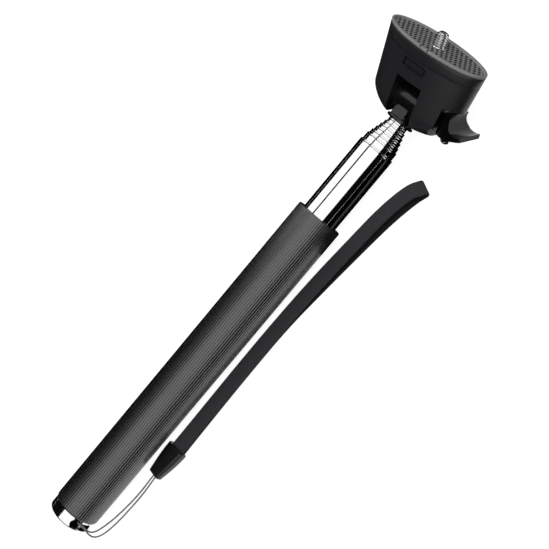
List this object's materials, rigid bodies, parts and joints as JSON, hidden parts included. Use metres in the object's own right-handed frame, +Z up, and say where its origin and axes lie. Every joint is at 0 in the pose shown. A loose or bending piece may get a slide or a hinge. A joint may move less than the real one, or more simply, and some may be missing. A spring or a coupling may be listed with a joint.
{
  "type": "selfie stick",
  "caption": "Telescopic selfie stick, closed, with ribbed grip, wrist strap and a tilting oval camera head locked by a side lever.",
  "frame": {"origin": "centre of the stick's footprint on the table it lies on, measured without the lanyard and strap", "axes": "+X along the stick from the end cap to the head, +Z up, the lever and strap on the -Y side"},
  "size_m": [0.3272, 0.0704, 0.0432],
  "materials": {
    "tube_chrome": "polished chrome plate",
    "cap_chrome": "polished chrome plate",
    "bush_brass": "drawn",
    "grip_rubber": "satin, fluted lengthwise",
    "black_plastic": "fine moulded grain",
    "knuckle_plastic": "smooth moulded",
    "lever_plastic": "fine moulded grain",
    "pad_rubber": "matt, dotted",
    "stud_steel": "bright plated",
    "steel": "plated",
    "washer_nylon": "natural",
    "cord_grey": "braided",
    "webbing_black": "woven"
  },
  "bodies": {
    "handle": {"tube_1": "tube_chrome", "grip_sleeve": "grip_rubber", "end_cap": "cap_chrome", "cap_core": "black_plastic", "lanyard_bar": "steel", "lanyard_cord": "cord_grey", "strap_clip": "black_plastic", "wrist_strap": "webbing_black"},
    "section_2": {"tube_2": "tube_chrome", "friction_bush_2": "bush_brass"},
    "section_3": {"tube_3": "tube_chrome", "friction_bush_3": "bush_brass"},
    "section_4": {"tube_4": "tube_chrome", "friction_bush_4": "bush_brass"},
    "section_5": {"tube_5": "tube_chrome", "friction_bush_5": "bush_brass"},
    "section_6": {"tube_6": "tube_chrome", "friction_bush_6": "bush_brass"},
    "section_7": {"tube_7": "tube_chrome", "friction_bush_7": "bush_brass"},
    "knuckle_body": {"knuckle": "knuckle_plastic"},
    "head": {"head_body": "black_plastic", "head_cover": "black_plastic", "rubber_pad": "pad_rubber", "camera_stud": "stud_steel", "stud_retainer": "black_plastic", "retainer_screws": "steel", "cover_screws": "steel", "friction_washers": "washer_nylon", "lever_washer": "steel"},
    "clamp": {"clamp_bolt": "steel", "clamp_nut": "steel"},
    "lever_body": {"lever": "lever_plastic", "lever_pin": "stud_steel"}
  },
  "joints": [
    {"name": "slide_2", "type": "slide", "parent": "handle", "child": "section_2", "axis": [1, 0, 0], "range_m": [0, 0.17]},
    {"name": "slide_3", "type": "slide", "parent": "section_2", "child": "section_3", "axis": [1, 0, 0], "range_m": [0, 0.17]},
    {"name": "slide_4", "type": "slide", "parent": "section_3", "child": "section_4", "axis": [1, 0, 0], "range_m": [0, 0.17]},
    {"name": "slide_5", "type": "slide", "parent": "section_4", "child": "section_5", "axis": [1, 0, 0], "range_m": [0, 0.17]},
    {"name": "slide_6", "type": "slide", "parent": "section_5", "child": "section_6", "axis": [1, 0, 0], "range_m": [0, 0.17]},
    {"name": "slide_7", "type": "slide", "parent": "section_6", "child": "section_7", "axis": [1, 0, 0], "range_m": [0, 0.17]},
    {"name": "head_swivel", "type": "hinge", "parent": "section_7", "child": "knuckle_body", "pos_m": [0.10812, 0.0033, 0.0135], "axis": [1, 0, 0], "continuous": true},
    {"name": "head_tilt", "type": "hinge", "parent": "knuckle_body", "child": "head", "pos_m": [0.12812, 0.0033, 0.0135], "axis": [0, -1, 0], "range_deg": [-34, 56]},
    {"name": "bolt_draw", "type": "slide", "parent": "head", "child": "clamp", "axis": [0, -1, 0], "range_m": [0, 0.0004]},
    {"name": "lever_turn", "type": "hinge", "parent": "clamp", "child": "lever_body", "pos_m": [0.12812, -0.0222, 0.0135], "axis": [0.829, 0, 0.5592], "range_deg": [0, 75]}
  ],
  "couplings": [
    {"joint": "lever_turn", "follows": "bolt_draw", "rad_per_m": 3272}
  ]
}
